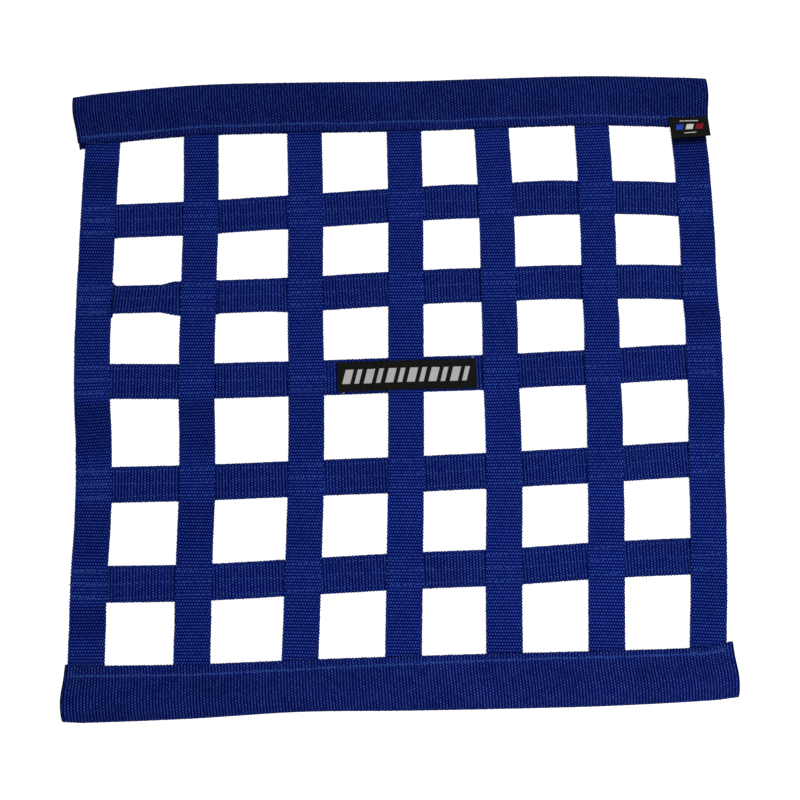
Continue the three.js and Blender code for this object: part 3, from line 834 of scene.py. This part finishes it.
def thread_material(name, colour, roughness):
    n = Nodes(name)
    dark = tuple(0.75 * c for c in colour)
    light = tuple(1.25 * c for c in colour)
    n.join(n.mix(n.noise(900.0), dark, light), n.shader.inputs["Base Color"])
    return n.finished(roughness, specular=0.05)


def black_weave(n, u, v):
    """Black label cloth: fine threads both ways, from places in millimetres."""
    warp = n.math("SINE", n.math("MULTIPLY", u, 2 * math.pi / LABEL_THREAD))
    weft = n.math("SINE", n.math("MULTIPLY", v, 2 * math.pi / LABEL_THREAD))
    weave = n.math("MULTIPLY_ADD", n.math("MULTIPLY", warp, weft), 0.5, 0.5)
    share = n.math("MULTIPLY_ADD", weave, 0.35, n.math("MULTIPLY", n.noise(700.0), 0.65))
    return n.mix(share, tuple(0.35 * c for c in LABEL_BLACK), tuple(2.0 * c for c in LABEL_BLACK))


def within(n, value, low, high):
    """1 where a value lies between low and high, with soft ends."""
    sides = []
    for inwards in (n.math("SUBTRACT", value, low), n.math("SUBTRACT", high, value)):
        clamp = n.add("ShaderNodeClamp")
        n.join(n.math("DIVIDE", inwards, MARK_SOFTNESS), clamp.inputs["Value"])
        sides.append(clamp.outputs[0])
    return n.math("MULTIPLY", *sides)


def woven_label_material(name, marks, axis, repeat=None):
    """Label cloth with marks. Each mark has a colour, a slant, its bounds down the label's face and its
    bounds along the other way, which repeat where a first place, a length and a count are given."""
    n = Nodes(name)
    _, *ways = n.weave()
    down, sideways = ways[axis], ways[1 - axis]
    colour = black_weave(n, down, sideways)
    for tint, slant, down_low, down_high, low, high in marks:
        leaning = n.math("MULTIPLY_ADD", down, slant, sideways)
        mask = within(n, down, down_low, down_high)
        if repeat is not None:
            first, length, count = repeat
            mask = n.math("MULTIPLY", mask, within(n, leaning, first, first + length * count))
            leaning = n.math("MODULO", n.math("SUBTRACT", leaning, first), length)
        mask = n.math("MULTIPLY", mask, within(n, leaning, low, high))
        colour = n.mix(mask, colour, tint)
    n.join(colour, n.shader.inputs["Base Color"])
    return n.finished(roughness=0.8, specular=0.03)


def sheet_mesh(name, surface, steps, size, material):
    """A label's closed sheet over a grid of steps across and along it, below surface(s, t)."""
    s = np.linspace(0, 1, steps[0] + 1)
    t = np.linspace(0, 1, steps[1] + 1)
    top = np.stack([surface(s, share) for share in t])
    low = top.copy()
    low[..., 2] -= LABEL_THICK
    rings = np.concatenate([top, low[:, ::-1]], axis=1)
    around = np.concatenate([s * size[0], (1 - s) * size[0], [0.0]])
    return faced_out(ring_mesh(name, rings, around, t * size[1], material))


def label_surface(s, t):
    """The label's face at the shares s across it and the share t along it."""
    along = np.array([math.cos(LABEL_TURN), math.sin(LABEL_TURN)])
    across = np.array([math.sin(LABEL_TURN), -math.cos(LABEL_TURN)])
    place = (t - 0.5) * LABEL_LENGTH
    offset = (s - 0.5) * LABEL_WIDTH
    points = np.zeros((len(s), 3))
    points[:, :2] = np.array([LABEL_X, LABEL_Y]) + place * along + offset[:, None] * across
    upright = UPRIGHTS["v4"]["h3"]
    middle = LABEL_X + place * along[0]
    low = WEB_THICK + GAP
    high = UPRIGHT_Z + WEB_THICK + GAP
    climbed = 1 - smooth_step((abs(middle - upright) - STRAP_WIDTH / 2 - LABEL_SHELF) / LABEL_RAMP)
    points[:, 2] = low + (high - low) * climbed + LABEL_THICK
    return points


def tag_surface(s, t):
    """The tag's face at the shares s across it and the share t down it."""
    mix = {key: TAG_TOP[key] + (TAG_BOTTOM[key] - TAG_TOP[key]) * t for key in TAG_TOP}
    points = np.zeros((len(s), 3))
    points[:, 0] = mix["left"] + (mix["right"] - mix["left"]) * s
    points[:, 1] = mix["leftY"] + (mix["rightY"] - mix["leftY"]) * s
    points[:, 2] = HEM_OVER_STRAP + WEB_THICK / 2 + GAP + TAG_LIFT * t * t + LABEL_THICK
    return points


def woven(obj, node):
    """Puts a sheet of cloth in its node's place."""
    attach(obj, "root")
    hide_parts(node)


# One navy webbing in three lit and shaded copies: the tones, ribs and dots of the uprights, cross straps and
# sleeves differ as light falls on their ribs from different sides, which is painted light.
sleeve_web = webbing_material(
    "sleeve_web", tone=0.77, rib=0.9, rib_power=2.0, dot=0.8, across_power=0.85, along_power=4.0
)
upright_web = webbing_material(
    "upright_web", tone=1.02, rib=0.95, rib_power=0.85, dot=1.55, across_power=5.0, along_power=4.5
)
cross_web = webbing_material(
    "cross_web", tone=0.93, rib=1.0, rib_power=1.6, dot=0.84, across_power=1.3, along_power=4.2
)
label_marks = [(LABEL_GREY, LABEL_SLANT, *bounds) for bounds in LABEL_BARS]
label_cloth = woven_label_material("label_cloth", label_marks, 0, LABEL_REPEAT)
tag_cloth = woven_label_material("tag_cloth", TAG_MARKS, 1)
thread_white = thread_material("thread_white", THREAD_WHITE, 0.7)
thread_blue = thread_material("thread_blue", THREAD_BLUE, 0.6)


def painted_light_on(name):
    """A function for the painted light and shade along an upright."""
    level, _ = upright_route(name)
    amounts = [bright - 1 for bright in PAINTED_SLOPE_LIGHT[name]]
    tag_edge = (TAG_BOTTOM["leftY"] + TAG_BOTTOM["rightY"]) / 2

    def painted_light_at(y):
        bright = 1 + in_openings(y, level, amounts, turned)
        if name == "v7":
            # the tag's shadow, painted on v7 below the tag's lower edge
            bright *= TAG_PAINTED_SHADOW + (1 - TAG_PAINTED_SHADOW) * smooth_step((tag_edge - y) / TAG_PAINTED_SHADOW_REACH)
        return bright

    return painted_light_at


for number, name in enumerate(UPRIGHTS):
    level, _ = upright_route(name)
    add_strap(
        name, level[0] + TUCK, level[-1] - TUCK, upright_frame, level[1:-1],
        painted_light_on(name), UPRIGHT_SEED + number, upright_web,
    )

for number, name in enumerate(CROSSES):
    level, _ = cross_route(name)
    outer = STRAP_WIDTH / 2 - END_INSET
    add_strap(
        name, level[0] - outer, level[-1] + outer, cross_frame, level,
        np.ones_like, CROSS_SEED + number, cross_web,
    )

for name in SLEEVES:
    tube = sleeve_mesh(name, sleeve_web)
    woven(tube, name)

label_steps = (round(LABEL_WIDTH / LABEL_STEP), round(LABEL_LENGTH / LABEL_STEP))
label = sheet_mesh("label", label_surface, label_steps, (LABEL_WIDTH, LABEL_LENGTH), label_cloth)
woven(label, "label_patch")

tag = sheet_mesh("tag", tag_surface, TAG_STEPS, (TAG_WIDTH, TAG_LENGTH), tag_cloth)
woven(tag, "side_tag")


def add_stitches(name, rows, face):
    """Rows of stitches, each a thread from its start to its end that dives into the cloth at both."""
    starts, ends, ups, radii = (np.concatenate(part) for part in zip(*rows))
    sides, stops = THREAD_STEPS[face]
    along = unit(ends - starts)
    aside = unit(np.cross(along, ups))
    angle = np.arange(sides) * 2 * np.pi / sides
    share = np.linspace(0, 1, stops)
    bulge = np.sqrt(np.clip(1 - (2 * share - 1) ** 4, STITCH_TAPER, 1))
    arch = -STITCH_DIVE * np.abs(2 * share - 1) ** 3
    middle = starts[:, None, :] + share[:, None] * (ends - starts)[:, None, :]
    middle = middle + (radii[:, None] * arch)[:, :, None] * ups[:, None, :]
    ring = np.cos(angle)[:, None] * aside[:, None, :] + np.sin(angle)[:, None] * ups[:, None, :]
    points = middle[:, :, None, :] + (radii[:, None] * bulge)[:, :, None, None] * ring[:, None]
    base = (np.arange(len(starts)) * stops * sides)[:, None]
    near = (base + np.arange(stops - 1) * sides)[:, :, None]
    far = near + sides
    side = np.arange(sides)
    after = (side + 1) % sides
    quads = np.stack([near + side, near + after, far + after, far + side], axis=-1).reshape(-1, 4)
    first = base + side[::-1]
    last = base + (stops - 1) * sides + side
    sewn_on(new_mesh(name, points.reshape(-1, 3), [quads, first, last], None, thread_blue))


def sewn_on(obj):
    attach(obj, "root")


def stitch_row(name, start, end, pitch, offset, rng, face):
    """Starts, ends, up directions and radii of one row of stitches along a cross strap's face."""
    crossings, _ = cross_route(name)
    count = int((end - start) / pitch)
    begins = start + pitch * np.arange(count) + STITCH_JITTER * rng.normal(size=count)
    first, last = (
        np.abs(begins + pitch / 2 - upright) < STRAP_WIDTH / 2 + OUTER_MARGIN
        for upright in (crossings[0], crossings[-1])
    )
    stops = begins + pitch - np.where(last, LAST_GAP, STITCH_GAP)
    knots = np.linspace(start, end, WANDER_KNOTS)
    wander = smooth_through(knots, STITCH_WANDER * rng.normal(size=len(knots)))
    middle = (begins + stops) / 2
    sewn = on_crossing(middle, crossings) > 0.5
    if face > 0:
        radii = np.where(sewn, THREAD_RADIUS, OPEN_RADIUS) * np.where(last, LAST_THICKER, 1.0)
        radii = radii * (1 + RADIUS_JITTER * rng.normal(size=count))
        on_ribs = np.where(first, THREAD_STAND, np.where(last, LAST_STAND, -THREAD_SINK))
        stand = WEB_THICK / 2 + np.where(sewn, UPRIGHT_Z + on_ribs, -OPEN_SINK)
    else:
        radii = np.full(count, UNDER_RADIUS)
        stand = np.full(count, -WEB_THICK / 2 + UNDER_RADIUS)
    ends = []
    for places, slant in ((begins, -STITCH_SLANT / 2), (stops, STITCH_SLANT / 2)):
        centre, across, up = cross_frame(name, places)
        ends.append(centre - (offset + slant + wander(places))[:, None] * across + stand[:, None] * up)
    _, _, up = cross_frame(name, middle)
    return ends[0], ends[1], face * up, radii


def lock_rows(name, middle, offset, rng):
    """Short stitches on both sides of a row where it turns back, on the first upright."""
    reach = STRAP_WIDTH / 2 - LOCK_INSET
    rows = []
    for aside in (offset + LOCK_ASIDE, offset - LOCK_ASIDE):
        *places, radii = stitch_row(name, middle - reach, middle + reach, LOCK_PITCH, aside, rng, 1)
        rows.append((*places, LOCK_THINNER * radii))
    return rows


for number, name in enumerate(CROSSES):
    rng = np.random.default_rng(STITCH_SEED + number)
    xs, _ = cross_route(name)
    outer = STRAP_WIDTH / 2 - STITCH_INSET
    for face, part in ((1, "_stitches"), (-1, "_under_stitches")):
        rows = []
        for offset in STITCH_ROWS:
            rows.append(stitch_row(name, xs[0] - outer, xs[-1] + outer, STITCH_PITCH, offset, rng, face))
            if face > 0:
                rows.extend(lock_rows(name, xs[0], offset, rng))
        add_stitches(name + part, rows, face)


def sleeve_point(name, x, distance, face):
    """A point on the flat of a sleeve's hem, at a distance from its edge, on its front or its back."""
    start, out, _, hem_height, _, _ = sleeve_section(name, x)
    height = hem_height + WEB_THICK / 2 - SEAM_PINCH + THREAD_STAND if face > 0 else UNDER_RADIUS
    return np.array([*(start + distance * out), height])


def seam_stitches(name, face, pitch, aside, radius, rng):
    """A hem seam along a whole sleeve, on the front or the back."""
    left, right = sleeve_ends(name)
    begins = np.arange(left + SEAM_INSET, right - SEAM_INSET - pitch, pitch)
    distance = seam_at(name, begins) + aside + SEAM_WANDER * rng.normal(size=len(begins))
    starts = np.array([sleeve_point(name, x, d, face) for x, d in zip(begins, distance)])
    stops = begins + pitch - SEAM_GAP
    beyond = np.append(distance[1:], distance[-1])
    ends = np.array([sleeve_point(name, x, d, face) for x, d in zip(stops, beyond)])
    ups = np.tile([0.0, 0.0, face], (len(begins), 1))
    return starts, ends, ups, radius * (1 + SEAM_JITTER * rng.normal(size=len(begins)))


def tack_stitches(name, rng):
    """Short stitches from the seam towards the hem's edge, which lock the seam's end."""
    side, first, last = SLEEVES[name]["tack"]
    cut_end = sleeve_ends(name)[side]
    xs = np.arange(cut_end + first, cut_end + last, TACK_PITCH)
    seam = seam_at(name, xs)
    inner = seam - TACK_LENGTH * (TACK_SHARE + TACK_JITTER * rng.normal(size=len(xs)))
    starts = np.array([sleeve_point(name, x, d, 1) for x, d in zip(xs, seam)])
    ends = np.array([sleeve_point(name, x + TACK_LEAN, d, 1) for x, d in zip(xs, inner)])
    ups = np.tile([0.0, 0.0, 1.0], (len(xs), 1))
    return starts, ends, ups, np.full(len(xs), TACK_RADIUS)


for number, name in enumerate(SLEEVES):
    rng = np.random.default_rng(SEAM_SEED + number)
    front = [seam_stitches(name, 1, *values, rng) for values in SEAM_ROWS]
    add_stitches(name + "_seam", [*front, tack_stitches(name, rng)], 1)
    back = seam_stitches(name, -1, SEAM_PITCH, 0.0, UNDER_RADIUS, rng)
    add_stitches(name + "_under_seam", [back], -1)


def loose_thread(name, points, material):
    """A loose end of thread: a thin tube through a few points."""
    path = np.array(points, float)
    knots = np.arange(len(path), dtype=float)
    at = np.linspace(0, len(path) - 1, 4 * len(path))
    line = np.stack([smooth_through(knots, path[:, axis])(at) for axis in range(3)], axis=-1)
    along = unit(np.gradient(line, axis=0))
    aside = unit(np.cross(along, [0.31, 0.17, 0.93]))
    above = np.cross(aside, along)
    angle = 2 * np.pi * np.arange(LOOSE_SIDES) / LOOSE_SIDES
    ring = np.cos(angle)[None, :, None] * aside[:, None, :] + np.sin(angle)[None, :, None] * above[:, None, :]
    taper = np.clip(4 * (1 - at / at[-1]), 0.3, 1)
    rings = line[:, None, :] + LOOSE_RADIUS * taper[:, None, None] * ring
    sewn_on(faced_out(ring_mesh(name, rings, np.linspace(0, 1, LOOSE_SIDES + 1), at, material)))


threads = {"blue": thread_blue, "white": thread_white}
for number, (points, colour) in enumerate(LOOSE_ENDS):
    loose_thread(f"thread_end_{number + 1}", points, threads[colour])

# Ground and light
FLOOR_HALF = 3000.0
FLOOR_GLOW = 0.85
FLOOR_DROP = 0.05
WORLD_GLOW = 0.26
LAMPS = {
    "key": dict(place=(0.38, -0.42, 1.0), size=0.9, energy=7.7),
    "window": dict(place=(0.2, 1.6, 1.8), size=0.8, energy=16.0),
}

# Camera: above the net, tilted a little, as the photo was taken
FOCAL_MM = 54.0
SENSOR_MM = 36.0
DISTANCE = 867.79
AIM = Vector((2.0006, -12.0217, 2.0))  # the point that the lens axis passes through
PITCH = math.radians(-8.363)
YAW = math.radians(0.239)
TURN = math.radians(1.695)

tilt = Matrix.Rotation(PITCH, 3, "X") @ Matrix.Rotation(YAW, 3, "Y") @ Matrix.Rotation(TURN, 3, "Z")
facing = tilt.transposed()
camera_data = bpy.data.cameras.new("camera")
camera_data.lens = FOCAL_MM
camera_data.sensor_width = SENSOR_MM
camera_data.clip_end = 10.0
camera = bpy.data.objects.new("camera", camera_data)
camera.matrix_world = Matrix.Translation((facing @ Vector((0, 0, DISTANCE)) + AIM) * MM) @ facing.to_4x4()
bpy.context.scene.collection.objects.link(camera)
bpy.context.scene.camera = camera


def pale_floor():
    """The white ground that the net lies on, which glows a little so that no shadow shows on it."""
    size = FLOOR_HALF
    points = [(-size, -size, 0), (size, -size, 0), (size, size, 0), (-size, size, 0)]
    n = Nodes("floor")
    n.shader.inputs["Base Color"].default_value = (0.5, 0.5, 0.5, 1.0)
    n.shader.inputs["Emission Color"].default_value = (1.0, 1.0, 1.0, 1.0)
    n.shader.inputs["Emission Strength"].default_value = FLOOR_GLOW
    material = n.finished(roughness=1.0, specular=0.0)
    floor = new_mesh("floor", np.array(points, float), [[[0, 1, 2, 3]]], None, material)
    floor.location.z = -FLOOR_DROP * MM


def lamp(name, place, size, energy):
    """A round lamp that points at the net's middle; place and size are in metres."""
    data = bpy.data.lights.new(name, "AREA")
    data.shape = "DISK"
    data.size = size
    data.energy = energy
    obj = bpy.data.objects.new(name, data)
    obj.location = place
    obj.rotation_euler = (-Vector(place)).to_track_quat("-Z", "Y").to_euler()
    bpy.context.scene.collection.objects.link(obj)


pale_floor()
for name, values in LAMPS.items():
    lamp(name, **values)
world = bpy.data.worlds.new("studio")
world.use_nodes = True
background = world.node_tree.nodes["Background"]
background.inputs["Color"].default_value = (1.0, 1.0, 1.0, 1.0)
background.inputs["Strength"].default_value = WORLD_GLOW
bpy.context.scene.world = world
bpy.context.scene.view_settings.view_transform = "Standard"
